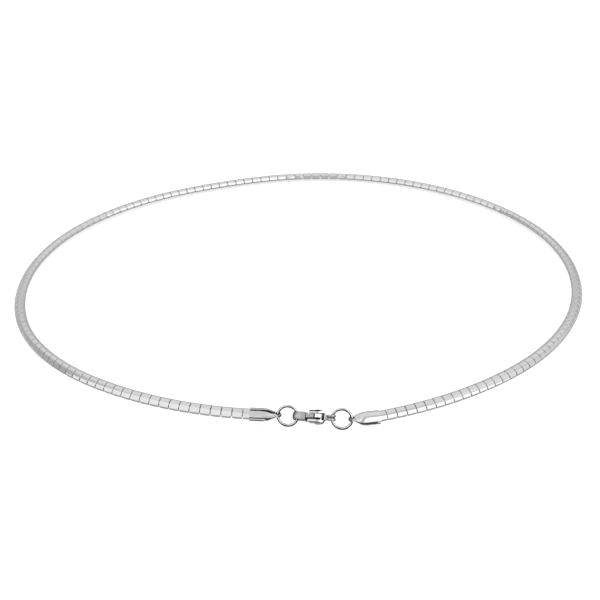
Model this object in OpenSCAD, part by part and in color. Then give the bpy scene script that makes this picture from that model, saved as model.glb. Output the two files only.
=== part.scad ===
// A round neck chain of narrow domed plates crimped side by side over a woven core.
// Two leaf shaped end caps, two jump rings and a lobster clasp close it at the front.
// The loop lies with its back on the surface, and the upright rings carry its front.

/* [Plates] */
// Number of plates on the whole loop
plate_count = 164; // [150:1:166]
// Width of the band across a plate
plate_w = 2.8; // [2.6:0.05:3.0]
// Thickness of the band from the slotted back to the crown
plate_t = 1.7; // [1.6:0.05:1.8]
// Radius of the domed face
dome_r = 1.7; // [1.6:0.05:2.0]
// Radius of the two rolled edges at the back
edge_r = 0.4; // [0.3:0.05:0.45]
// Thickness of the sheet that the plates are bent from
sheet_t = 0.28; // [0.2:0.01:0.3]
// Open slot between a plate's two folded lips
lip_gap = 1.0; // [0.6:0.1:1.4]
// Gap between neighbouring plates, on the centre line
plate_gap = 0.17; // [0.16:0.01:0.25]
// Slope of the band: its outer edge lies lower than its inner edge
band_tilt = 22; // [15:1:25]

/* [End caps] */
// Length of the straight sleeve that holds the last plate's place
neck_len = 1.5; // [1.2:0.1:1.5]
// How much the leaf stands proud of the plates all round
leaf_grow = 0.36; // [0.25:0.01:0.4]
// Length of the leaf from its mouth to the centre of the ring hole
leaf_len = 6.6; // [6.4:0.1:6.8]
// Length of the leaf's full width
leaf_straight = 3.7; // [3.2:0.1:4.0]
// Thickness of the flat tongue
tongue_t = 0.55; // [0.45:0.05:0.6]
// Width of the flat tongue
tongue_w = 1.75; // [1.7:0.05:1.9]
// Radius of the hole that takes the jump ring
tongue_hole_r = 0.56; // [0.55:0.01:0.58]
// Slope of the leaf across its width
leaf_tilt = 8; // [5:1:12]

/* [Jump rings] */
// Outer diameter of a jump ring
ring_d = 5.4; // [5.2:0.1:5.6]
// Diameter of its wire
ring_wire_d = 0.7; // [0.6:0.05:0.7]
// How far the upright rings lean back
ring_lean = 12; // [8:1:16]

/* [Clasp] */
// Wall of the hook in the plane of the clasp
hook_wall = 0.78; // [0.72:0.02:0.8]
// Half of the opening inside the hook
hook_bore_r = 1.23; // [1.1:0.01:1.3]
// Thickness of the hook
hook_t = 1.9; // [1.7:0.1:2.1]
// Greatest thickness of the clasp's shell
shell_t = 3.5; // [3.2:0.1:3.7]
// Thickness of the eye at the tail
eye_t = 1.3; // [1.2:0.1:1.4]
// Width of the channel that the lever swings in
channel_w = 1.5; // [1.45:0.05:1.6]
// Thickness of the lever
lever_t = 0.95; // [0.9:0.05:1.0]
// Radius of the hinge pin
pin_r = 0.3; // [0.25:0.05:0.35]
// How far the clasp leans back
clasp_lean = 35; // [33:1:37]

/* [Hidden] */
$fn = 48;

steel = [0.80, 0.80, 0.81];
dull_steel = [0.62, 0.62, 0.63];

// The loop is a run of tangent arcs, from the right cap round the back to the left cap
RADIUS = 0;
TURN = 1;
arcs = [
    [90, 26.5],
    [75, 50.5],
    [68, 66.5],
    [64, 32.5],
    [118, 12],
    [73, 74.5],
    [59, 36.5],
    [75, 34]
];
start_point = [18.6, -71.6];
start_heading = 20.5;

// Headings of the two leaves, which point at the clasp
left_leaf_heading = -5;
right_leaf_heading = 193;

// Heights above the plane of the loop
ring_drop = -0.15;
clasp_rise = -0.05;

// Moves the whole outline over the origin
centre_shift = [0, 1.05];

crown = plate_t / 2;
wall_clear = 0.08;
ring_r = (ring_d - ring_wire_d) / 2;
wire_r = ring_wire_d / 2;
wire_clear = 0.12;
far = 10;
past = 1;

// Walk along the arcs
arc_count = len(arcs);
function arc_len(i) = arcs[i][RADIUS] * arcs[i][TURN] * PI / 180;
function arc_heading(i) = i == 0 ? start_heading : arc_heading(i - 1) + arcs[i - 1][TURN];
function along(centre, radius, heading) = centre + radius * [sin(heading), -cos(heading)];
function arc_start(i) =
    i == 0 ? start_point : along(arc_centre(i - 1), arcs[i - 1][RADIUS], arc_heading(i));
function arc_centre(i) = arc_start(i) - arcs[i][RADIUS] * [sin(arc_heading(i)), -cos(arc_heading(i))];
function len_before(i) = i == 0 ? 0 : len_before(i - 1) + arc_len(i - 1);
function arc_at(s, i = 0) =
    i == arc_count - 1 || s < len_before(i) + arc_len(i) ? i : arc_at(s, i + 1);
function heading_at(s, i) = arc_heading(i) + (s - len_before(i)) / arcs[i][RADIUS] * 180 / PI;
function point_at(s, i) = along(arc_centre(i), arcs[i][RADIUS], heading_at(s, i));

loop_len = len_before(arc_count - 1) + arc_len(arc_count - 1);
end_point = point_at(loop_len, arc_count - 1);
pitch = (loop_len - 2 * neck_len - plate_gap) / plate_count;
plate_len = pitch - plate_gap;
right_count = floor(plate_count / 2);

// The rings hang in the holes of the two tongues, and the clasp is centred between them
function direction(heading) = [cos(heading), sin(heading)];
left_hole = end_point + leaf_len * direction(left_leaf_heading);
right_hole = start_point + leaf_len * direction(right_leaf_heading);
hole_span = norm(right_hole - left_hole);
clasp_heading = atan2(right_hole.y - left_hole.y, right_hole.x - left_hole.x);
left_ring_centre = left_hole + ring_r * direction(clasp_heading);
right_ring_centre = right_hole - ring_r * direction(clasp_heading);
clasp_centre = (left_hole + right_hole) / 2;
wire_at = hole_span / 2 - 2 * ring_r;

// The loop's plane rises a little towards the front, where the rings stand on the surface
band_low = (plate_w / 2 - edge_r) * sin(band_tilt) + (crown - edge_r) * cos(band_tilt) + edge_r;
ring_up = ring_r * cos(ring_lean) + wire_r - ring_drop;
rest_gap = 0.01;
front_y = left_ring_centre.y;
back_y = arc_centre(2).y + arcs[2][RADIUS];
lift = asin((ring_up - band_low) / (back_y - front_y));
rest_z = band_low + back_y * sin(lift) + rest_gap;

module laid() {
    translate([centre_shift.x, centre_shift.y, rest_z])
        rotate([-lift, 0, 0])
            children();
}

module on_path(s) {
    i = arc_at(s);
    p = point_at(s, i);
    translate([p.x, p.y, 0])
        rotate([0, 0, heading_at(s, i)])
            rotate([band_tilt, 0, 0])
                children();
}

// Stands a flat section up, so that it runs along x
module run(length) {
    rotate([90, 0, 90]) linear_extrude(length) children();
}

// A plate's outline across the band, crown up, grown or shrunk all round
module band_outline(grow) {
    half_w = plate_w / 2;
    intersection() {
        translate([0, crown - dome_r]) circle(dome_r + grow);
        union() {
            translate([-half_w - grow, edge_r - crown]) square([plate_w + 2 * grow, plate_t]);
            translate([edge_r - half_w, -crown - grow]) square([plate_w - 2 * edge_r, plate_t]);
            for (side = [-1, 1])
                translate([side * (half_w - edge_r), edge_r - crown]) circle(edge_r + grow);
        }
    }
}

// The bent sheet, open between its lips at the back
module plate_section() {
    difference() {
        band_outline(0);
        band_outline(-sheet_t);
        translate([-lip_gap / 2, -plate_t]) square([lip_gap, plate_t]);
    }
}

module plate() {
    translate([-plate_len / 2, 0, 0]) run(plate_len) plate_section();
}

module plates(first, last) {
    color(steel)
        laid()
            for (i = [first : last])
                on_path(neck_len + plate_gap + plate_len / 2 + i * pitch) plate();
}

module right_plates() {
    plates(0, right_count - 1);
}

module left_plates() {
    plates(right_count, plate_count - 1);
}

// The woven ribbon that threads every plate and ends inside the two leaves
core_end = 2.4;
core_half_w = plate_w / 2 - sheet_t - wall_clear;
core_half_t = crown - sheet_t - wall_clear;
core_corner = 0.3;
core_shoulder = 0.45 * core_half_w;

// Height of the ribbon's domed side at a distance from its middle
function core_dome(across) =
    crown - dome_r + sqrt(pow(dome_r - sheet_t - wall_clear, 2) - pow(across, 2));

core_outline = [
    [-core_half_w, core_corner - core_half_t],
    [core_corner - core_half_w, -core_half_t],
    [core_half_w - core_corner, -core_half_t],
    [core_half_w, core_corner - core_half_t],
    [core_half_w, core_dome(core_half_w)],
    [core_shoulder, core_dome(core_shoulder)],
    [-core_shoulder, core_dome(core_shoulder)],
    [-core_half_w, core_dome(core_half_w)]
];

// The outline as a ring round the path, at a length from the path's start
function core_ring(s) =
    let (
        on = min(max(s, 0), loop_len),
        i = arc_at(on),
        heading = heading_at(on, i),
        p = point_at(on, i) + (s - on) * direction(heading),
        inward = [-sin(heading), cos(heading), 0],
        across = cos(band_tilt) * inward + [0, 0, sin(band_tilt)],
        up = [0, 0, cos(band_tilt)] - sin(band_tilt) * inward
    )
    [for (q = core_outline) [p.x, p.y, 0] + q.x * across + q.y * up];

core_stops = [
    -core_end,
    for (i = [0 : plate_count]) neck_len + plate_gap / 2 + i * pitch,
    loop_len + core_end
];

module core() {
    sides = len(core_outline);
    last = len(core_stops) - 1;
    points = [for (s = core_stops) each core_ring(s)];
    walls = [
        for (ring = [0 : last - 1], k = [0 : sides - 1])
            let (next = (k + 1) % sides)
            [
                ring * sides + k,
                ring * sides + next,
                (ring + 1) * sides + next,
                (ring + 1) * sides + k
            ]
    ];
    ends = [
        [for (k = [sides - 1 : -1 : 0]) k],
        [for (k = [0 : sides - 1]) last * sides + k]
    ];
    color(dull_steel) laid() polyhedron(points = points, faces = concat(walls, ends), convexity = 10);
}

// One leaf of folded sheet, its mouth at the origin and its tongue along x
leaf_wall = 0.46;
tip_rim = 0.31;
tip_end = leaf_len + tongue_hole_r + tip_rim;
plan_bend_r = 3.5;
side_straight = leaf_straight - 0.8;
side_bend_r = 4.2;
cavity_depth = 3.1;
seam_w = 0.28;
seam_end = 5;
seam_floor = 0.15;
left_seam_y = -0.25;
neck_sink = 0.3;

// A straight stretch that two arcs close like the tip of a leaf
module leaf_profile(half, straight, bend_r) {
    translate([0, -half]) square([straight, 2 * half]);
    intersection_for (side = [-1, 1])
        translate([straight, side * (half - bend_r)]) circle(bend_r);
}

module leaf_plan() {
    half_tongue = tongue_w / 2;
    leaf_profile(plate_w / 2 + leaf_grow, leaf_straight, plan_bend_r);
    translate([leaf_straight, -half_tongue]) square([tip_end - half_tongue - leaf_straight, tongue_w]);
    translate([tip_end - half_tongue, 0]) circle(half_tongue);
}

module leaf_side() {
    leaf_profile(crown + leaf_grow, side_straight, side_bend_r);
    translate([0, -tongue_t / 2]) square([tip_end, tongue_t]);
}

// The cut where the folded sheet's two edges meet, from the mouth to the tongue
module seam() {
    translate([-past, -seam_w / 2, seam_floor]) cube([seam_end + past, seam_w, far]);
}

module leaf() {
    difference() {
        intersection() {
            run(tip_end) union() {
                band_outline(leaf_grow);
                square([tongue_w, tongue_t], center = true);
            }
            translate([0, 0, -far / 2]) linear_extrude(far) leaf_plan();
            rotate([90, 0, 0]) translate([0, 0, -far / 2]) linear_extrude(far) leaf_side();
        }
        translate([-past, 0, 0]) run(cavity_depth + past) band_outline(leaf_grow - leaf_wall);
        children();
        translate([leaf_len, 0, -far / 2]) cylinder(r = tongue_hole_r, h = far);
    }
}

// The sleeve between the last plate and the leaf's mouth
module neck() {
    difference() {
        run(neck_len + neck_sink) band_outline(0);
        run(neck_len + past) band_outline(-sheet_t);
        translate([0, -lip_gap / 2, -plate_t]) cube([neck_len + past, lip_gap, plate_t]);
    }
}

module leaf_at(point, heading, tilt) {
    translate([point.x, point.y, 0])
        rotate([0, 0, heading])
            rotate([tilt, 0, 0])
                leaf() children();
}

module left_end_cap() {
    color(steel) laid() {
        on_path(loop_len - neck_len) neck();
        leaf_at(end_point, left_leaf_heading, leaf_tilt) translate([0, left_seam_y, 0]) seam();
    }
}

module right_end_cap() {
    color(steel) laid() {
        on_path(neck_len) mirror([1, 0, 0]) neck();
        leaf_at(start_point, right_leaf_heading, -leaf_tilt) mirror([0, 0, 1]) seam();
    }
}

// Round wire rings that stand up and face the front
module jump_ring(centre) {
    color(steel)
        laid()
            translate([centre.x, centre.y, ring_drop])
                rotate([0, 0, clasp_heading])
                    rotate([90 - ring_lean, 0, 0])
                        rotate_extrude() translate([ring_r, 0]) circle(wire_r);
}

module left_jump_ring() {
    jump_ring(left_ring_centre);
}

module right_jump_ring() {
    jump_ring(right_ring_centre);
}

// The clasp's own frame: x from the hook to the eye, y away from the lever, z through it
module clasp_frame() {
    laid()
        translate([clasp_centre.x, clasp_centre.y, clasp_rise])
            rotate([0, 0, clasp_heading])
                rotate([-clasp_lean, 0, 0])
                    children();
}

hook_outer_r = hook_bore_r + hook_wall;
hook_x = hook_bore_r - wire_at - wire_r - wire_clear;
shell_end = 2.6;
shell_end_r = 1.73;
shell_peak = 0.4;
shell_start = -2.5;
shell_side_r = 3.6;
shell_bulge_r = 6.2;
hook_round_r = 2.1;
flare_from = 0.2;
hook_flare = 0.34;
eye_flare = 0.2;
bore_end = 0.1;
hook_tip_x = -2.1;
cheek_x = -1.3;
channel_end = 2.15;
channel_top = -0.2;
spring_room_end = 1.75;
spring_room_top = 0.3;
eye_hole_r = 0.74;
eye_wall = 0.44;
eye_x = wire_at + wire_r + wire_clear - eye_hole_r;
eye_bar = 1.7;
eye_bar_start = 1;
pin_at = [1.5, -0.85];
lever_side = 0.15;
pin_len = 3.1;
pin_clear = 0.04;
pin_slack = 0.02;

module slab(thickness) {
    translate([0, 0, -thickness / 2]) linear_extrude(thickness) children();
}

// A cross section of the hook, flat where the rings run and rounded outside
module hook_section() {
    intersection() {
        square([2 * hook_outer_r, hook_t], center = true);
        translate([hook_outer_r - hook_round_r, 0]) circle(hook_round_r);
    }
}

// The round nose of the hook and its two straight sides
module hook() {
    translate([hook_x, 0, 0])
        rotate([0, 0, 90])
            rotate_extrude(angle = 180)
                intersection() {
                    hook_section();
                    translate([0, -hook_t]) square([2 * hook_outer_r, 2 * hook_t]);
                }
    for (side = [0, 1])
        mirror([0, side, 0])
            translate([hook_x, 0, 0])
                run(shell_peak - hook_x)
                    hook_section();
}

module shell_outline() {
    end_x = shell_end - hook_outer_r;
    translate([shell_start, 0]) square([end_x - shell_start, hook_outer_r]);
    translate([cheek_x, -hook_outer_r]) square([end_x - cheek_x, 2 * hook_outer_r]);
    translate([end_x, 0]) circle(hook_outer_r);
}

// The shell from its edge: two wide arcs, and a round end towards the eye
module shell_side() {
    round_x = shell_end - shell_end_r;
    intersection() {
        intersection_for (side = [-1, 1])
            translate([shell_peak, side * (shell_t / 2 - shell_bulge_r)]) circle(shell_bulge_r);
        union() {
            translate([round_x, 0]) circle(shell_end_r);
            translate([round_x - far, -far / 2]) square([far, far]);
        }
    }
}

// A shell thickest near its middle and thinner towards all its edges
module shell() {
    intersection() {
        slab(shell_t) shell_outline();
        rotate([90, 0, 0]) translate([0, 0, -far / 2]) linear_extrude(far) shell_side();
        intersection_for (side = [-1, 1])
            translate([-far / 2, 0, side * (shell_t / 2 - shell_side_r)])
                rotate([0, 90, 0]) cylinder(r = shell_side_r, h = far);
    }
}

// A hole that widens towards both faces, because the ring in it is curved
module flared_hole(radius, thickness, flare) {
    reach = thickness / 2 - flare_from;
    cylinder(r = radius, h = far, center = true);
    for (side = [0, 1])
        mirror([0, 0, side])
            translate([0, 0, flare_from])
                cylinder(r1 = radius, r2 = radius + 2 * flare, h = 2 * reach);
}

module clasp_body() {
    color(steel) clasp_frame() difference() {
        union() {
            hook();
            shell();
            slab(eye_t) {
                translate([eye_bar_start, -eye_bar / 2]) square([eye_x - eye_bar_start, eye_bar]);
                translate([eye_x, 0]) circle(eye_hole_r + eye_wall);
            }
        }
        // the room for the rings, through the whole clasp
        translate([hook_x, 0, 0]) flared_hole(hook_bore_r, hook_t, hook_flare);
        translate([eye_x, 0, 0]) flared_hole(eye_hole_r, eye_t, eye_flare);
        slab(far)
            translate([hook_x, -hook_bore_r]) square([bore_end - hook_x, 2 * hook_bore_r]);
        // the way in, from the hook's tip to the cheeks
        slab(far) translate([hook_tip_x, -far]) square([cheek_x - hook_tip_x, far]);
        // the channel between the cheeks
        slab(channel_w) {
            translate([hook_tip_x, -far]) square([channel_end - hook_tip_x, far + channel_top]);
            translate([hook_tip_x, channel_top - past])
                square([spring_room_end - hook_tip_x, past + spring_room_top - channel_top]);
        }
        slab(far) translate(pin_at) circle(pin_r);
    }
}

lever_tip_x = -2.75;
lever_in_y = -0.62;
lever_out_y = -1.17;
lever_face_y = -1.6;
lever_face_x = -1.05;
knuckle_r = 0.62;
thumb_x = 0.85;
thumb_r = 1.05;
thumb_drop = 0.3;

// The gate from the pin to the inside of the hook's tip, with a rounded thumb piece
module lever_plan() {
    difference() {
        union() {
            difference() {
                gate_plan();
                translate([thumb_x - 2 * thumb_r, lever_in_y]) square(4 * thumb_r);
            }
            translate(pin_at) circle(knuckle_r);
        }
        translate(pin_at) circle(pin_r + pin_clear);
    }
}

module gate_plan() {
    translate([lever_tip_x, lever_out_y]) square([pin_at.x - lever_tip_x, lever_in_y - lever_out_y]);
    translate([lever_face_x, lever_face_y]) square([pin_at.x - lever_face_x, lever_in_y - lever_face_y]);
    translate([thumb_x, lever_out_y - thumb_drop]) circle(thumb_r);
}

module clasp_lever() {
    color(steel) clasp_frame() translate([0, 0, lever_side]) slab(lever_t) lever_plan();
}

module lever_pin() {
    color(steel) clasp_frame() slab(pin_len) translate(pin_at) circle(pin_r - pin_slack);
}

core();
left_plates();
right_plates();
left_end_cap();
right_end_cap();
left_jump_ring();
right_jump_ring();
clasp_body();
clasp_lever();
lever_pin();
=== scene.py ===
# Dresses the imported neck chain: plates, woven core, leaf caps, wire rings, clasp, and a pale studio
import bpy
import bmesh
import math
import random
from mathutils import Matrix, Vector


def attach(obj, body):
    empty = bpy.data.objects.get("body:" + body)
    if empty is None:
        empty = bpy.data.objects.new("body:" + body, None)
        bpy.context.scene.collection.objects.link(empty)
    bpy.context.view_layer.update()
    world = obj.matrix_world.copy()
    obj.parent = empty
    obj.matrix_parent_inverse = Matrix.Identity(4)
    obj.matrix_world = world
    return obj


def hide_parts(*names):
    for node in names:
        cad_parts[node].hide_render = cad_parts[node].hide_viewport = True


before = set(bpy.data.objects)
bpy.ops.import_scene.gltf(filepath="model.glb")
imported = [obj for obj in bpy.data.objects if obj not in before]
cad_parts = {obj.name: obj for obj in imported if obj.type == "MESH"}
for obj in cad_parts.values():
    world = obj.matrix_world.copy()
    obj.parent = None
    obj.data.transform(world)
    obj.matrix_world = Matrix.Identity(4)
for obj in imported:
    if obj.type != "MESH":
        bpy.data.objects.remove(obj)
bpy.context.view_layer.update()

# Lengths are in millimetres and angles in degrees, except where a note says otherwise
metresPerMm = 0.001
touch = 0.001                # points closer than this are in the same place

# The loop: tangent arcs from the right cap round the back to the left cap
loop = {
    "arcs": ((90, 26.5), (75, 50.5), (68, 66.5), (64, 32.5), (118, 12), (73, 74.5), (59, 36.5), (75, 34)),
    "start": Vector((18.6, -71.6, 0)),
    "startHeading": 20.5,
    "tilt": 22,              # slope of the band, outer edge down
    "lift": 0.64503,         # slope of the whole loop, front up
    "forward": 1.05,
    "height": 2.00546,
    "leftLeafHeading": -5,
    "rightLeafHeading": 193,
    "leafTilt": 8,
}

laid = (
    Matrix.Scale(metresPerMm, 4)
    @ Matrix.Translation((0, loop["forward"], loop["height"]))
    @ Matrix.Rotation(math.radians(-loop["lift"]), 4, "X")
)


def direction(heading):
    return Vector((math.cos(math.radians(heading)), math.sin(math.radians(heading)), 0))


def walk(s):
    point = loop["start"]
    heading = loop["startHeading"]
    left = s
    for index, (radius, turn) in enumerate(loop["arcs"]):
        length = radius * math.radians(turn)
        isLast = index == len(loop["arcs"]) - 1
        part = left if isLast else min(left, length)
        centre = point + radius * direction(heading + 90)
        heading += math.degrees(part / radius)
        point = centre - radius * direction(heading + 90)
        left -= part
        if left <= 0:
            break
    return point, heading


loopLength = sum(radius * math.radians(turn) for radius, turn in loop["arcs"])


def turned(point, heading, tilt):
    return (
        laid
        @ Matrix.Translation(point)
        @ Matrix.Rotation(math.radians(heading), 4, "Z")
        @ Matrix.Rotation(math.radians(tilt), 4, "X")
    )


def onPath(s):
    point, heading = walk(s)
    return turned(point, heading, loop["tilt"])


def asMesh(name, bm):
    mesh = bpy.data.meshes.new(name)
    bm.to_mesh(mesh)
    bm.free()
    return mesh


def asObject(name, data):
    made = bpy.data.objects.new(name, data)
    bpy.context.scene.collection.objects.link(made)
    return made


def vertsIn(items):
    return [item for item in items if isinstance(item, bmesh.types.BMVert)]


def addPiece(name, bm, finishNames, body="necklace"):
    piece = asObject(name, asMesh(name, bm))
    for finishName in finishNames:
        piece.data.materials.append(steels[finishName])
    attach(piece, body)
    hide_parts(name)
    print("made", name, "with", len(piece.data.polygons), "faces")
    return piece


def shade(bm, sharpFrom=180):
    for face in bm.faces:
        face.smooth = True
    for edge in bm.edges:
        edge.smooth = edge.calc_face_angle(0) < math.radians(sharpFrom)


def turnOutwards(bm, crownFrom):     # an open sheet's crown is what lies higher than crownFrom
    bmesh.ops.recalc_face_normals(bm, faces=bm.faces)
    if sum(face.normal.z for face in bm.faces if face.calc_center_median().z > crownFrom) < 0:
        bmesh.ops.reverse_faces(bm, faces=bm.faces)


def thicken(bm, wall):
    bmesh.ops.solidify(bm, geom=bm.faces, thickness=wall)
    bmesh.ops.recalc_face_normals(bm, faces=bm.faces)


def paint(bm, finishNames, finishOf):
    for face in bm.faces:
        face.material_index = finishNames.index(finishOf(face.calc_center_median(), face.normal))


def remeshed(bm, voxel, rounds):
    mesh = asMesh("rough", bm)
    rough = asObject("rough", mesh)
    remesh = rough.modifiers.new("remesh", "REMESH")
    remesh.mode = "VOXEL"
    remesh.voxel_size = voxel
    result = bmesh.new()
    result.from_object(rough, bpy.context.evaluated_depsgraph_get())
    bpy.data.objects.remove(rough)
    bpy.data.meshes.remove(mesh)
    for step in range(rounds):
        bmesh.ops.smooth_vert(
            result, verts=result.verts, factor=0.5,
            use_axis_x=True, use_axis_y=True, use_axis_z=True,
        )
    shade(result)
    return result


# Shader maths: a wrapped socket takes the usual operators
class Socket:
    def __init__(self, tree, socket=None):
        self.tree = tree
        self.socket = socket

    def node(self, kind, settings=None, inputs=None):
        made = self.tree.nodes.new(kind)
        for name, value in (settings or {}).items():
            setattr(made, name, value)
        for name, value in (inputs or {}).items():
            if isinstance(value, Socket):
                self.tree.links.new(value.socket, made.inputs[name])
            else:
                made.inputs[name].default_value = value
        return Socket(self.tree, made.outputs[0] if made.outputs else None)

    def output(self, name):
        return Socket(self.tree, self.socket.node.outputs[name])

    def maths(self, operation, first, second):
        return self.node("ShaderNodeMath", {"operation": operation}, {0: first, 1: second})

    def __add__(self, other):
        return self.maths("ADD", self, other)

    def __radd__(self, other):
        return self.maths("ADD", other, self)

    def __sub__(self, other):
        return self.maths("SUBTRACT", self, other)

    def __rsub__(self, other):
        return self.maths("SUBTRACT", other, self)

    def __mul__(self, other):
        return self.maths("MULTIPLY", self, other)

    def __rmul__(self, other):
        return self.maths("MULTIPLY", other, self)


# Steel finishes: marks are counted per metre, or per millimetre along and across a plate
finishes = {
    "polished_plate": {"tone": 0.62, "edge": 0.75, "polish": 0.09, "haze": 0.05, "bump": 0.05,
                       "brush": (0.4, 14.0, 1.0), "patch": 0.35, "onBand": True},
    "pressed_leaf": {"tone": 0.64, "edge": 0.30, "polish": 0.12, "haze": 0.06, "bump": 0.10,
                     "brush": (900.0, 5200.0, 5200.0), "patch": 420.0, "onBand": False},
    "drawn_wire": {"tone": 0.64, "edge": 0.0, "polish": 0.05, "haze": 0.04, "bump": 0.04,
                   "brush": (2600.0, 2600.0, 2600.0), "patch": 420.0, "onBand": False},
    # The cast steel is one material in a lit copy and shaded copies: polished_casting has its tone raised
    # to 0.90 so its reflections clip white, satin_and_painted_shade has real satin roughness and a painted
    # darker tone, and painted_shade is near black
    "polished_casting": {"tone": 0.90, "edge": 0.10, "polish": 0.06, "haze": 0.04, "bump": 0.04,
                         "brush": (1800.0, 1800.0, 1800.0), "patch": 420.0, "onBand": False},
    "satin_and_painted_shade": {"tone": 0.40, "edge": 0.10, "polish": 0.14, "haze": 0.08, "bump": 0.10,
                      "brush": (1800.0, 5200.0, 1800.0), "patch": 420.0, "onBand": False},
    # painted_shade: near-black steel painted where shade and dark reflections fall, inside, under and
    # between parts
    "painted_shade": {"tone": 0.07, "edge": 0.05, "polish": 0.30, "haze": 0.10, "bump": 0.15,
                   "brush": (2600.0, 2600.0, 2600.0), "patch": 420.0, "onBand": False},
    "woven_wire": {"tone": 0.40, "edge": 0.30, "polish": 0.30, "haze": 0.10, "bump": 0.10,
                   "brush": (4000.0, 4000.0, 4000.0), "patch": 420.0, "onBand": False},
}
wear = 0.03                  # how far the tone strays from patch to patch
coolness = 1.006             # how much bluer than grey the steel is
scratchDepth = 0.00002       # in metres


def blankMaterial(name):
    material = bpy.data.materials.new(name)
    material.use_nodes = True
    material.node_tree.nodes.clear()
    return material


def makeSteel(name):
    finish = finishes[name]
    edge = finish["edge"]
    material = blankMaterial(name)
    steel = Socket(material.node_tree)
    place = steel.node("ShaderNodeTexCoord").output("UV" if finish["onBand"] else "Object")
    stretched = steel.node("ShaderNodeMapping", None, {"Vector": place, "Scale": finish["brush"]})
    brushed = steel.node("ShaderNodeTexNoise", None, {
        "Vector": stretched, "Scale": 1.0, "Detail": 3.0, "Roughness": 0.6,
    })
    patch = steel.node("ShaderNodeTexNoise", None, {
        "Vector": place, "Scale": finish["patch"], "Detail": 2.0,
    })
    tone = (patch - 0.5) * (2 * wear) + (brushed - 0.5) * wear + finish["tone"]
    colour = steel.node("ShaderNodeCombineColor", None, {
        "Red": tone, "Green": tone, "Blue": tone * coolness,
    })
    roughness = (brushed - 0.5) * finish["haze"] + (patch - 0.5) * (0.5 * finish["haze"]) + finish["polish"]
    normal = steel.node("ShaderNodeBump", None, {
        "Strength": finish["bump"], "Distance": scratchDepth, "Height": brushed,
    })
    shader = steel.node("ShaderNodeBsdfPrincipled", None, {
        "Base Color": colour, "Metallic": 1.0, "Roughness": roughness, "Normal": normal,
        "Specular Tint": (edge, edge, edge, 1),
    })
    steel.node("ShaderNodeOutputMaterial", None, {"Surface": shader})
    return material


steels = {name: makeSteel(name) for name in finishes}
print("materials ready")

# One bent plate: its outline across the band, then its length
plate = {
    "count": 164,
    "gap": 0.17,
    "width": 2.8,
    "thickness": 1.7,
    "domeRadius": 1.7,
    "rollRadius": 0.4,
    "lipGap": 1.0,
    "sheet": 0.28,
    "chamfer": 0.07,
    "backTaper": 0.9,        # length of the folded back as a share of the face
    "rollSteps": 2,
    "domeSteps": 3,
    "sharpFrom": 40,
    "wobble": (0.5, 0.25, 0.15),     # how far a plate may sit askew about each of its axes
    "seed": 7,
}
sleeve = {"length": 1.5, "sink": 0.3}    # the plain sleeve at each end, and what the leaf cap hides of it


def rimEdges(bm, length):    # the outer edges round both ends of a bent sheet
    rims = []
    for edge in bm.edges:
        middle = (edge.verts[0].co + edge.verts[1].co) / 2
        walls = [face for face in edge.link_faces if abs(face.normal.x) < 0.5]
        isAtEnd = abs(abs(middle.x) - length / 2) < touch
        if isAtEnd and walls and walls[0].normal.dot(Vector((0, middle.y, middle.z))) > 0:
            rims.append(edge)
    return rims


def bentSheet(length, chamfer, taper):
    bm = bmesh.new()
    crown = plate["thickness"] / 2
    roll = plate["rollRadius"]
    halfWidth = plate["width"] / 2
    domeZ = crown - plate["domeRadius"]
    domeAngle = math.asin(halfWidth / plate["domeRadius"])
    lip = bm.verts.new((-length / 2, plate["lipGap"] / 2, -crown))
    flat = bmesh.ops.extrude_vert_indiv(bm, verts=[lip])["verts"][0]
    flat.co.y = halfWidth - roll
    rolled = bmesh.ops.spin(
        bm, geom=[flat], cent=(0, halfWidth - roll, roll - crown), axis=(1, 0, 0),
        angle=math.pi / 2, steps=plate["rollSteps"],
    )["geom_last"]
    shoulder = bmesh.ops.extrude_vert_indiv(bm, verts=vertsIn(rolled))["verts"][0]
    shoulder.co.z = domeZ + plate["domeRadius"] * math.cos(domeAngle)
    bmesh.ops.spin(
        bm, geom=[shoulder], cent=(0, 0, domeZ), axis=(1, 0, 0),
        angle=domeAngle, steps=plate["domeSteps"],
    )
    bmesh.ops.mirror(bm, geom=bm.verts[:] + bm.edges[:], axis="Y", merge_dist=touch)
    made = bmesh.ops.extrude_edge_only(bm, edges=bm.edges[:])["geom"]
    bmesh.ops.translate(bm, verts=vertsIn(made), vec=(length, 0, 0))
    turnOutwards(bm, 0)
    thicken(bm, plate["sheet"])
    if chamfer:
        bmesh.ops.bevel(
            bm, geom=rimEdges(bm, length), offset=chamfer, offset_type="OFFSET", affect="EDGES",
            segments=1, profile=0.5, material=-1,
        )
    back = [vert for vert in bm.verts if vert.co.z < roll - crown + touch]
    bmesh.ops.scale(bm, vec=(taper, 1, 1), verts=back)
    shade(bm, plate["sharpFrom"])
    layer = bm.loops.layers.uv.new("band")
    for face in bm.faces:
        for corner in face.loops:
            corner[layer].uv = (corner.vert.co.x, corner.vert.co.y)
    return bm


def copyInto(bm, template, matrix, shift=0, finish=0):
    vertsBefore = len(bm.verts)
    facesBefore = len(bm.faces)
    bm.from_mesh(template)
    bm.verts.ensure_lookup_table()
    bm.faces.ensure_lookup_table()
    bmesh.ops.transform(bm, matrix=matrix, verts=bm.verts[vertsBefore:])
    layer = bm.loops.layers.uv.active
    for face in bm.faces[facesBefore:]:
        face.material_index = finish
        for corner in face.loops:
            corner[layer].uv.x += shift


def evenNormals(piece):      # flat faces stay flat, and only the chamfers bend the light
    even = piece.modifiers.new("even", "WEIGHTED_NORMAL")
    even.keep_sharp = True


pitch = (loopLength - 2 * sleeve["length"] - plate["gap"]) / plate["count"]
plateLength = pitch - plate["gap"]
chance = random.Random(plate["seed"])


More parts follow.
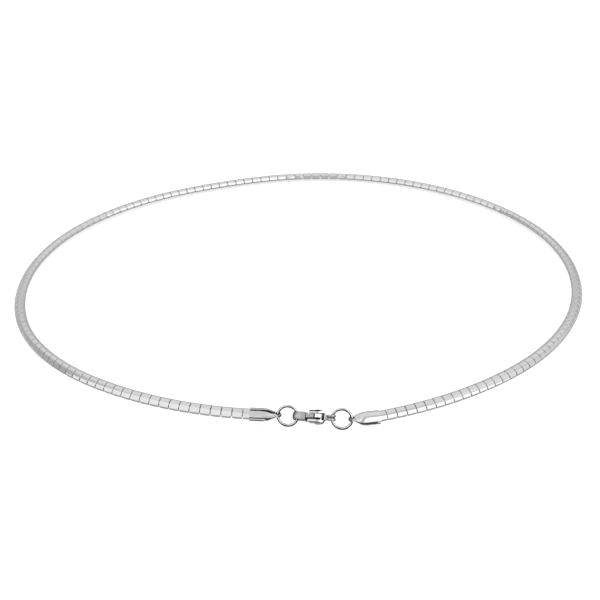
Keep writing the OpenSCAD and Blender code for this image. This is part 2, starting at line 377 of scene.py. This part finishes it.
def makePlates(name, first, last):
    template = asMesh("template", bentSheet(plateLength, plate["chamfer"], plate["backTaper"]))
    bm = bmesh.new()
    for index in range(first, last):
        s = sleeve["length"] + plate["gap"] + plateLength / 2 + index * pitch
        place = onPath(s)
        for axis, most in zip("XYZ", plate["wobble"]):
            place = place @ Matrix.Rotation(math.radians(chance.uniform(-1, 1) * most), 4, axis)
        copyInto(bm, template, place, s)
    bpy.data.meshes.remove(template)
    evenNormals(addPiece(name, bm, ["polished_plate"]))


half = plate["count"] // 2
makePlates("right_plates", 0, half)
makePlates("left_plates", half, plate["count"])

# The woven core: two sets of wires wound against each other into a flat sleeve
core = {
    "halfWidth": 0.86,
    "halfHeight": 0.40,
    "rise": -0.02,
    "boxiness": 2.6,
    "wires": 6,              # each way round
    "wireRadius": 0.13,
    "crossing": 0.07,        # how far a wire swings out and in
    "turnLength": 8.0,
    "samples": 24,           # points on a wire in one turn
    "ends": 2.4,             # how far the wires run on into the caps
    "sharpFrom": 100,
}


def coreOutline(turn, out):
    power = 2 / core["boxiness"]
    across = math.copysign(abs(math.cos(turn)) ** power, math.cos(turn))
    up = math.copysign(abs(math.sin(turn)) ** power, math.sin(turn))
    y = (core["halfWidth"] + out) * across
    z = (core["halfHeight"] + out) * up + core["rise"]
    return Vector((0, y, z))


def makeCore():
    data = bpy.data.curves.new("wires", "CURVE")
    data.dimensions = "3D"
    data.bevel_depth = core["wireRadius"] * metresPerMm
    data.bevel_resolution = 0
    length = loopLength + 2 * core["ends"]
    count = int(length / core["turnLength"] * core["samples"])
    places = []
    for step in range(count + 1):
        s = step / count * length - core["ends"]
        onLoop = min(max(s, 0), loopLength)
        places.append(onPath(onLoop) @ Matrix.Translation((s - onLoop, 0, 0)))
    for way in (1, -1):
        for wire in range(core["wires"]):
            spline = data.splines.new("POLY")
            spline.points.add(count)
            for step, place in enumerate(places):
                turn = 2 * math.pi * (wire / core["wires"] + way * step / core["samples"])
                out = way * core["crossing"] * math.cos(core["wires"] * turn)
                spline.points[step].co = (place @ coreOutline(turn, out)).to_4d()
    wires = asObject("wires", data)
    bm = bmesh.new()
    mesh = bpy.data.meshes.new_from_object(wires.evaluated_get(bpy.context.evaluated_depsgraph_get()))
    bm.from_mesh(mesh)
    bpy.data.meshes.remove(mesh)
    bpy.data.objects.remove(wires)
    bpy.data.curves.remove(data)
    bmesh.ops.holes_fill(bm, edges=[edge for edge in bm.edges if edge.is_boundary], sides=8)
    bmesh.ops.recalc_face_normals(bm, faces=bm.faces)
    shade(bm, core["sharpFrom"])
    addPiece("core", bm, ["woven_wire"])


makeCore()

# Two leaf caps: a folded sheet that narrows to a flat tongue
leaf = {
    "length": 6.6,           # mouth to the centre of the ring hole
    "straight": 3.7,         # where the sheet starts to narrow, seen from above
    "planBend": 3.5,
    "sideStraight": 2.9,     # and seen from the side
    "sideBend": 4.2,
    "halfWidth": 1.76,
    "halfHeight": 1.21,
    "wall": 0.28,
    "crownFrom": 0.5,
    "sheetEnd": 5.95,
    "tipHalfHeight": 0.46,
    "stations": 26,
    "cornerSteps": 5,
    "tongueWidth": 1.75,
    "tongueThickness": 0.55,
    "tongueFrom": 4.3,
    "tongueSides": 48,
    "hole": 0.56,
    "rim": 0.31,
    "gapeFrom": 2.8,         # the two lips part from here on, by so much at the tip
    "gapeNear": 0.15,
    "gapeFar": 0.40,
    "voxel": 0.05,
    "rounds": 3,
}

# Corners of the sheet across the left leaf, from the seam's near edge round to its far edge
leftSection = (
    {"y": -0.26, "z": 1.04, "round": 0},
    {"y": -1.90, "z": 0.26, "round": 0.05},
    {"y": -1.66, "z": 0.20, "round": 0.03},
    {"y": -1.68, "z": 0.00, "round": 0.03},
    {"y": -1.90, "z": -0.04, "round": 0.04},
    {"y": -2.04, "z": -0.20, "round": 0.05},
    {"y": -1.96, "z": -0.66, "round": 0.06},
    {"y": -1.15, "z": -1.14, "round": 0.25},
    {"y": 1.30, "z": -1.16, "round": 0.35},
    {"y": 1.78, "z": -0.55, "round": 0.3},
    {"y": 1.72, "z": 0.35, "round": 0.4},
    {"y": 0.95, "z": 1.10, "round": 0.3},
    {"y": 0.18, "z": 1.26, "round": 0},
)
# The right leaf is seen from its smooth side, with the seam underneath
rightSection = (
    {"y": 0.14, "z": -1.20, "round": 0},
    {"y": 1.30, "z": -1.16, "round": 0.35},
    {"y": 1.92, "z": -0.98, "round": 0.08},
    {"y": 2.03, "z": -0.84, "round": 0.05},
    {"y": 1.66, "z": -0.76, "round": 0.03},
    {"y": 1.62, "z": -0.36, "round": 0.03},
    {"y": 1.88, "z": -0.20, "round": 0.08},
    {"y": 1.42, "z": 0.66, "round": 0.3},
    {"y": 0.80, "z": 1.05, "round": 0.3},
    {"y": 0.00, "z": 1.20, "round": 0.4},
    {"y": -0.80, "z": 1.05, "round": 0.3},
    {"y": -1.45, "z": 0.62, "round": 0.3},
    {"y": -1.78, "z": -0.20, "round": 0.3},
    {"y": -1.30, "z": -1.16, "round": 0.35},
    {"y": -0.14, "z": -1.20, "round": 0},
)


def tapered(x, half, straight, bend, least):
    reach = x - straight
    if reach <= 0:
        return half
    inside = bend ** 2 - reach ** 2
    return max(half - bend + math.sqrt(max(inside, 0)), least)


def leafWidth(x):
    return tapered(x, leaf["halfWidth"], leaf["straight"], leaf["planBend"], leaf["tongueWidth"] / 2)


def leafHeight(x):
    return tapered(x, leaf["halfHeight"], leaf["sideStraight"], leaf["sideBend"], leaf["tipHalfHeight"])


def leafSheet(section):
    bm = bmesh.new()
    corners = [bm.verts.new((0, row["y"], row["z"])) for row in section]
    bm.faces.new(corners)
    seam = [edge for edge in bm.edges if corners[0] in edge.verts and corners[-1] in edge.verts]
    for corner, row in zip(corners, section):
        if row["round"]:
            bmesh.ops.bevel(
                bm, geom=[corner], offset=row["round"], offset_type="OFFSET", affect="VERTICES",
                segments=leaf["cornerSteps"], profile=0.5, material=-1, clamp_overlap=True,
            )
    bmesh.ops.delete(bm, geom=bm.faces[:], context="FACES_ONLY")
    bmesh.ops.delete(bm, geom=seam, context="EDGES")
    outline = bm.edges[:]
    step = leaf["sheetEnd"] / leaf["stations"]
    for station in range(1, leaf["stations"] + 1):
        before = (station - 1) * step
        x = station * step
        made = bmesh.ops.extrude_edge_only(bm, edges=outline)["geom"]
        verts = vertsIn(made)
        edges = [item for item in made if isinstance(item, bmesh.types.BMEdge)]
        outline = [edge for edge in edges if edge.verts[0] in verts and edge.verts[1] in verts]
        narrower = leafWidth(x) / leafWidth(before)
        lower = leafHeight(x) / leafHeight(before)
        bmesh.ops.scale(bm, vec=(1, narrower, lower), verts=verts)
        bmesh.ops.translate(bm, vec=(step, 0, 0), verts=verts)
    turnOutwards(bm, leaf["crownFrom"])
    openSeam(bm)
    thicken(bm, leaf["wall"])
    return bm


def addTongue(bm):
    radius = leaf["tongueWidth"] / 2
    middle = leaf["length"] + leaf["hole"] + leaf["rim"] - radius
    sides = leaf["tongueSides"]
    outer = bmesh.ops.create_circle(bm, cap_ends=False, segments=sides, radius=radius)["verts"]
    root = [vert for vert in outer if vert.co.x < -touch]
    bmesh.ops.scale(bm, vec=(0, 1, 1), verts=root)
    bmesh.ops.translate(bm, vec=(leaf["tongueFrom"] - middle, 0, 0), verts=root)
    bmesh.ops.translate(bm, vec=(middle, 0, 0), verts=outer)
    inner = bmesh.ops.create_circle(bm, cap_ends=False, segments=sides, radius=leaf["hole"])["verts"]
    bmesh.ops.translate(bm, vec=(leaf["length"], 0, 0), verts=inner)
    edges = [edge for vert in outer + inner for edge in vert.link_edges]
    washer = bmesh.ops.bridge_loops(bm, edges=list(set(edges)))["faces"]
    bmesh.ops.translate(bm, vec=(0, 0, -leaf["tongueThickness"] / 2), verts=outer + inner)
    raised = bmesh.ops.extrude_face_region(bm, geom=washer)["geom"]
    bmesh.ops.translate(bm, vec=(0, 0, leaf["tongueThickness"]), verts=vertsIn(raised))
    bmesh.ops.recalc_face_normals(bm, faces=bm.faces)


def openSeam(bm):
    free = [edge for edge in bm.edges if edge.is_boundary]
    seam = [edge for edge in free if abs(edge.verts[0].co.x - edge.verts[1].co.x) > touch]
    for lip in {vert for edge in seam for vert in edge.verts if vert.co.x > leaf["gapeFrom"]}:
        around = [edge.other_vert(lip) for edge in lip.link_edges]
        inner = min(around, key=lambda other: abs(other.co.x - lip.co.x))
        share = (lip.co.x - leaf["gapeFrom"]) / (leaf["sheetEnd"] - leaf["gapeFrom"])
        lip.co.y += share * (leaf["gapeFar"] if inner.co.y > lip.co.y else -leaf["gapeNear"])


# Where a leaf gets painted shade, dark steel for shadow and dark reflections: inside, underneath, in its
# groove, between its lips, and round the tongue's end
leafPaintedShade = {
    "leansIn": 0.15,         # the inside is what leans inwards by more than this
    "tipPaler": 0.6,         # at the tip, the underside has to point down by this much more
    "grooveDepth": (1.0, 1.80),
    "tipDeeper": 0.4,        # at the tip, the groove reaches out this much further
    "recessFrom": -0.1,      # the recess is where the tongue lies between the lips
    "recessTo": 0.45,        # as a share of the tongue's width
    "recessHigh": 0.6,       # as a share of the tongue's thickness
    "recessUp": 0.5,         # the tongue's face points up by more than this
    "endFrom": 0.2,          # past the centre of the hole
    "endUp": 0.6,            # the tongue's rim points up by less than this
    "holeWall": 0.03,
}
leftLook = {
    "front": -1,             # the side that the photo shows
    "groove": (-0.04, 0.24),
    "grooveFrom": 0,
    "lineFrom": 3.3,         # the tip's changes come in over the next millimetre
    "widens": 0.30,
    "paintedShadeBelow": -0.12,      # the underside gets painted shade where its normal rises less than this
}
rightLook = {
    "front": 1,
    "groove": (-0.78, -0.22),
    "grooveFrom": 0.7,
    "lineFrom": 4.5,
    "widens": 0,
    "paintedShadeBelow": -0.75,
}
capFinishes = ["pressed_leaf", "painted_shade", "polished_plate"]


def isTonguePaintedShade(middle, normal):
    fromHole = Vector((middle.x - leaf["length"], middle.y, 0)).length
    isEnd = middle.x > leaf["length"] + leafPaintedShade["endFrom"] and abs(normal.z) < leafPaintedShade["endUp"]
    return isEnd or fromHole < leaf["hole"] + leafPaintedShade["holeWall"]


def isSheetPaintedShade(middle, normal, look):
    outward = Vector((0, middle.y, middle.z)).normalized()
    height = middle.z * leaf["halfHeight"] / leafHeight(middle.x)
    depth = middle.y * look["front"] * leaf["halfWidth"] / leafWidth(middle.x)
    towardsTip = min(max(middle.x - look["lineFrom"], 0), 1)
    isInside = normal.dot(outward) < -leafPaintedShade["leansIn"]
    isBelow = normal.z < look["paintedShadeBelow"] - leafPaintedShade["tipPaler"] * towardsTip
    low = look["groove"][0] - look["widens"] * towardsTip
    isAtGroove = middle.x > look["grooveFrom"] and low < height < look["groove"][1]
    near, far = leafPaintedShade["grooveDepth"]
    isGroove = isAtGroove and near < depth < far + leafPaintedShade["tipDeeper"] * towardsTip
    isAtRecess = middle.x > leaf["gapeFrom"] and normal.z > leafPaintedShade["recessUp"]
    isAtRecess = isAtRecess and abs(middle.z) < leafPaintedShade["recessHigh"] * leaf["tongueThickness"]
    farSide = leafPaintedShade["recessTo"] * leaf["tongueWidth"]
    isRecess = isAtRecess and leafPaintedShade["recessFrom"] < middle.y < farSide
    return isInside or isBelow or isGroove or isRecess


def makeCap(name, section, look, point, heading, tilt, sleeveEnd, way):
    def finishOf(middle, normal):
        if middle.x > leaf["sheetEnd"]:
            return "painted_shade" if isTonguePaintedShade(middle, normal) else "pressed_leaf"
        return "painted_shade" if isSheetPaintedShade(middle, normal, look) else "pressed_leaf"

    bm = leafSheet(section)
    addTongue(bm)
    bm = remeshed(bm, leaf["voxel"], leaf["rounds"])
    paint(bm, capFinishes, finishOf)
    bmesh.ops.transform(bm, matrix=turned(point, heading, tilt), verts=bm.verts)
    bm.loops.layers.uv.new("band")
    template = asMesh("template", bentSheet(sleeve["length"] + sleeve["sink"], 0, 1))
    middle = sleeveEnd - way * (sleeve["length"] - sleeve["sink"]) / 2
    copyInto(bm, template, onPath(middle), finish=capFinishes.index("polished_plate"))
    bpy.data.meshes.remove(template)
    evenNormals(addPiece(name, bm, capFinishes))


endPoint = walk(loopLength)[0]
makeCap(
    "left_end_cap", leftSection, leftLook,
    endPoint, loop["leftLeafHeading"], loop["leafTilt"], loopLength, 1,
)
makeCap(
    "right_end_cap", rightSection, rightLook,
    loop["start"], loop["rightLeafHeading"], -loop["leafTilt"], 0, -1,
)

# Jump rings of round wire, cut once and closed
ring = {
    "radius": 2.35,
    "wire": 0.347,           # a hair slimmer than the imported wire
    "lean": 12,
    "drop": -0.15,
    "steps": 240,
    "sides": 28,
    "sharpFrom": 60,
    "cut": 1.2,              # the open joint
    "leftCutAt": 150,
    "rightCutAt": 92,
    "paintedShadeBelow": 0.47,       # the wire gets painted shade, for the dark floor it mirrors, where its normal rises less than this
    "sidesPaler": 0.6,       # at the ring's two sides, this share of that is lost
}
ringFinishes = ["drawn_wire", "painted_shade"]
leftHole = endPoint + leaf["length"] * direction(loop["leftLeafHeading"])
rightHole = loop["start"] + leaf["length"] * direction(loop["rightLeafHeading"])
span = rightHole - leftHole
claspHeading = math.degrees(math.atan2(span.y, span.x))


def makeRing(name, centre, cutAt):
    place = turned(centre + Vector((0, 0, ring["drop"])), claspHeading, 90 - ring["lean"])

    # the wire's downward faces are painted dark: painted shade and painted reflection of the shadowed floor
    def finishOf(middle, normal):
        across = abs(middle.x) / ring["radius"]
        rises = (place.to_3x3() @ normal).normalized().z
        isPaintedShade = rises < ring["paintedShadeBelow"] * (1 - ring["sidesPaler"] * across)
        return "painted_shade" if isPaintedShade else "drawn_wire"

    bm = bmesh.new()
    bmesh.ops.create_circle(
        bm, cap_ends=True, segments=ring["sides"], radius=ring["wire"],
        matrix=Matrix.Translation((ring["radius"], 0, 0)) @ Matrix.Rotation(math.pi / 2, 4, "X"),
    )
    bmesh.ops.spin(
        bm, geom=bm.faces[:], cent=(0, 0, 0), axis=(0, 0, 1),
        angle=math.radians(360 - ring["cut"]), steps=ring["steps"],
    )
    cutTurn = Matrix.Rotation(math.radians(cutAt + ring["cut"] / 2), 3, "Z")
    bmesh.ops.rotate(bm, verts=bm.verts, matrix=cutTurn)
    bmesh.ops.recalc_face_normals(bm, faces=bm.faces)
    shade(bm, ring["sharpFrom"])
    bm.normal_update()
    paint(bm, ringFinishes, finishOf)
    bmesh.ops.transform(bm, matrix=place, verts=bm.verts)
    addPiece(name, bm, ringFinishes)


makeRing("left_jump_ring", leftHole + ring["radius"] * direction(claspHeading), ring["leftCutAt"])
makeRing("right_jump_ring", rightHole - ring["radius"] * direction(claspHeading), ring["rightCutAt"])

# The cast clasp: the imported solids, with their edges tumbled soft
clasp = {
    "lean": 35,
    "rise": -0.05,
    "channelHalf": 0.89,     # the lever's slot, and the faces in and beside it that get painted shade
    "channelEnds": (-2.3, 2.25),
    "channelDepths": (-1.85, 0.4),
    "channelWall": 0.3,      # below the slot, a face gets painted shade if it leans sideways by more than this
    "flank": 0.6,            # and a face of the lever if it leans by more than this
    "satinTo": 0.2,          # the lever's root gets the satin painted shade, its thumb piece the bright lit copy
    "hookEnd": -1.95,        # the hook lies left of this, the eye right of eyeFrom
    "hookBelow": 0.45,       # the hook gets painted shade where it leans down by more than this
    "eyeFrom": 2.55,
    "edge": (0.40, 0.93),    # a rounded edge of the shell leaning up between these gets painted shade, and leaning down between them the satin painted shade
    "eyeAt": 3.776,
    "grooveReach": 0.75,     # from the eye's centre
    "grooveHalf": 0.28,
    "grooveDepth": 0.2,
    "grooveDark": 0.14,
    "voxel": 0.05,
    "rounds": 6,
}
claspPlace = turned(
    (leftHole + rightHole) / 2 + Vector((0, 0, clasp["rise"])), claspHeading, -clasp["lean"]
)
castFinishes = ["polished_casting", "satin_and_painted_shade", "painted_shade"]


def castCopy(name):          # a node's mesh, in the clasp's own frame and in millimetres
    bm = bmesh.new()
    bm.from_mesh(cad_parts[name].data)
    for layer in bm.loops.layers.uv.values():
        bm.loops.layers.uv.remove(layer)
    bmesh.ops.transform(bm, matrix=claspPlace.inverted(), verts=bm.verts)
    bmesh.ops.remove_doubles(bm, verts=bm.verts, dist=touch)
    return remeshed(bm, clasp["voxel"], clasp["rounds"])


def isInGroove(point):
    reach = Vector((max(point.x - clasp["eyeAt"], 0), point.y, 0)).length
    isAtEye = point.x > clasp["eyeFrom"] and reach > clasp["grooveReach"]
    return isAtEye and abs(point.z) < clasp["grooveHalf"]


def sinkGroove(bm):          # the line between the two halves of the cast eye
    for vert in bm.verts:
        if isInGroove(vert.co):
            inward = -Vector((max(vert.co.x - clasp["eyeAt"], 0), vert.co.y, 0)).normalized()
            share = 1 - (vert.co.z / clasp["grooveHalf"]) ** 2
            vert.co += inward * clasp["grooveDepth"] * share


def isInChannel(middle, normal):
    start, end = clasp["channelEnds"]
    floor, top = clasp["channelDepths"]
    if abs(middle.z) > clasp["channelHalf"] or not start < middle.x < end:
        return False
    return middle.y < top and (middle.y > floor or abs(normal.z) > clasp["channelWall"])


# Painted light: the slot, the hook's underside, the middle of the eye's groove and the shell's leaning
# edges get painted shade, and the rest is the lit copy
def bodyFinish(middle, normal):
    least, most = clasp["edge"]
    if isInChannel(middle, normal):
        return "painted_shade"
    if middle.x < clasp["hookEnd"]:
        return "painted_shade" if normal.z < -clasp["hookBelow"] else "satin_and_painted_shade"
    if middle.x > clasp["eyeFrom"]:
        isDark = isInGroove(middle) and abs(middle.z) < clasp["grooveDark"]
        return "painted_shade" if isDark else "satin_and_painted_shade"
    if least < normal.z < most:
        return "painted_shade"
    return "satin_and_painted_shade" if -most < normal.z < -least else "polished_casting"


# the lever's flanks get painted shade, its root the satin painted shade
def leverFinish(middle, normal):
    if abs(normal.z) > clasp["flank"]:
        return "painted_shade"
    return "satin_and_painted_shade" if middle.x < clasp["satinTo"] else "polished_casting"


def makeCast(name, body, finishOf, detail=None):
    bm = castCopy(name)
    if detail:
        detail(bm)
    bm.normal_update()
    paint(bm, castFinishes, finishOf)
    bmesh.ops.transform(bm, matrix=claspPlace, verts=bm.verts)
    addPiece(name, bm, castFinishes, body)


makeCast("clasp_body", "necklace", bodyFinish, sinkGroove)
makeCast("clasp_lever", "lever", leverFinish)
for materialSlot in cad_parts["lever_pin"].material_slots:
    materialSlot.material = steels["polished_casting"]

# A pale sweep for the camera, a grey card for the steel to mirror, a pale tent, and the camera
studio = {
    "floorSize": 4.0,        # in metres, as the heights and the eye's place are
    "sweep": {"tone": 0.65, "glow": 0.68, "height": 0},
    "card": {"tone": 0.75, "glow": 0, "height": 0.00002},
    "lens": 129.66,
    "eye": Vector((0, -0.50955, 0.25775)),
    "lookDown": 27.08,
}

# The tent: turn is 0 at the back horizon, 90 overhead and 180 in front, and side is 90 at the right
tent = {
    "cloth": 0.71,           # the light where no panel is, and soft is the width of a panel's edge
    "panels": (
        {"turn": (25, 95), "side": (-35, 45), "soft": 25, "light": 0.36},
        {"turn": (96, 300), "side": (-90, -10), "soft": 12, "light": 0.58},
        {"turn": (117, 300), "side": (14, 120), "soft": 10, "light": 0.95},
        {"turn": (70, 116), "side": (40, 120), "soft": 20, "light": 0.40},
        {"turn": (-30, 8), "side": (-32, 12), "soft": 10, "light": 0.30},
        {"turn": (-120, 75), "side": (-120, -48), "soft": 16, "light": -0.10},
        {"turn": (-120, 75), "side": (52, 120), "soft": 16, "light": 0.30},
    ),
}


def makeFloor(name, look):
    bm = bmesh.new()
    bmesh.ops.create_grid(bm, x_segments=2, y_segments=2, size=studio["floorSize"] / 2)
    bmesh.ops.translate(bm, verts=bm.verts, vec=(0, 0, look["height"]))
    floor = asObject(name, asMesh(name, bm))
    material = blankMaterial(name)
    paper = Socket(material.node_tree)
    tone = look["tone"]
    shader = paper.node("ShaderNodeBsdfPrincipled", None, {
        "Base Color": (tone, tone, tone, 1), "Roughness": 0.9, "Specular IOR Level": 0,
        "Emission Color": (1, 1, 1, 1), "Emission Strength": look["glow"],
    })
    paper.node("ShaderNodeOutputMaterial", None, {"Surface": shader})
    floor.data.materials.append(material)
    return floor


def softStep(value, at, soft):
    return value.node("ShaderNodeMapRange", {"interpolation_type": "SMOOTHSTEP"}, {
        "Value": value, "From Min": at - soft / 2, "From Max": at + soft / 2,
    })


def makeTent():
    world = bpy.data.worlds.new("tent")
    bpy.context.scene.world = world
    world.use_nodes = True
    world.node_tree.nodes.clear()
    sky = Socket(world.node_tree)
    way = sky.node("ShaderNodeTexCoord").output("Generated")
    across = sky.node("ShaderNodeSeparateXYZ", None, {"Vector": way})
    turn = sky.maths("ARCTAN2", across.output("Z"), across.output("Y")) * (180 / math.pi)
    side = sky.node("ShaderNodeMath", {"operation": "ARCSINE"}, {0: across}) * (180 / math.pi)
    light = sky.node("ShaderNodeValue")
    light.socket.default_value = tent["cloth"]
    for panel in tent["panels"]:
        shape = 1
        for value, (low, high) in ((turn, panel["turn"]), (side, panel["side"])):
            shape = softStep(value, low, panel["soft"]) * (1 - softStep(value, high, panel["soft"])) * shape
        light = light + shape * panel["light"]
    background = sky.node("ShaderNodeBackground", None, {"Color": light, "Strength": 1.0})
    sky.node("ShaderNodeOutputWorld", None, {"Surface": background})


def makeCamera():
    data = bpy.data.cameras.new("camera")
    data.lens = studio["lens"]
    data.clip_start = 0.01
    data.clip_end = 20
    camera = asObject("camera", data)
    camera.location = studio["eye"]
    camera.rotation_euler = (math.radians(90 - studio["lookDown"]), 0, 0)
    bpy.context.scene.camera = camera


sweep = makeFloor("sweep", studio["sweep"])
sweep.visible_glossy = False
card = makeFloor("card", studio["card"])
card.visible_camera = False
card.visible_diffuse = False
card.visible_shadow = False
makeTent()
makeCamera()
bpy.context.scene.view_settings.view_transform = "Standard"
print("studio ready")
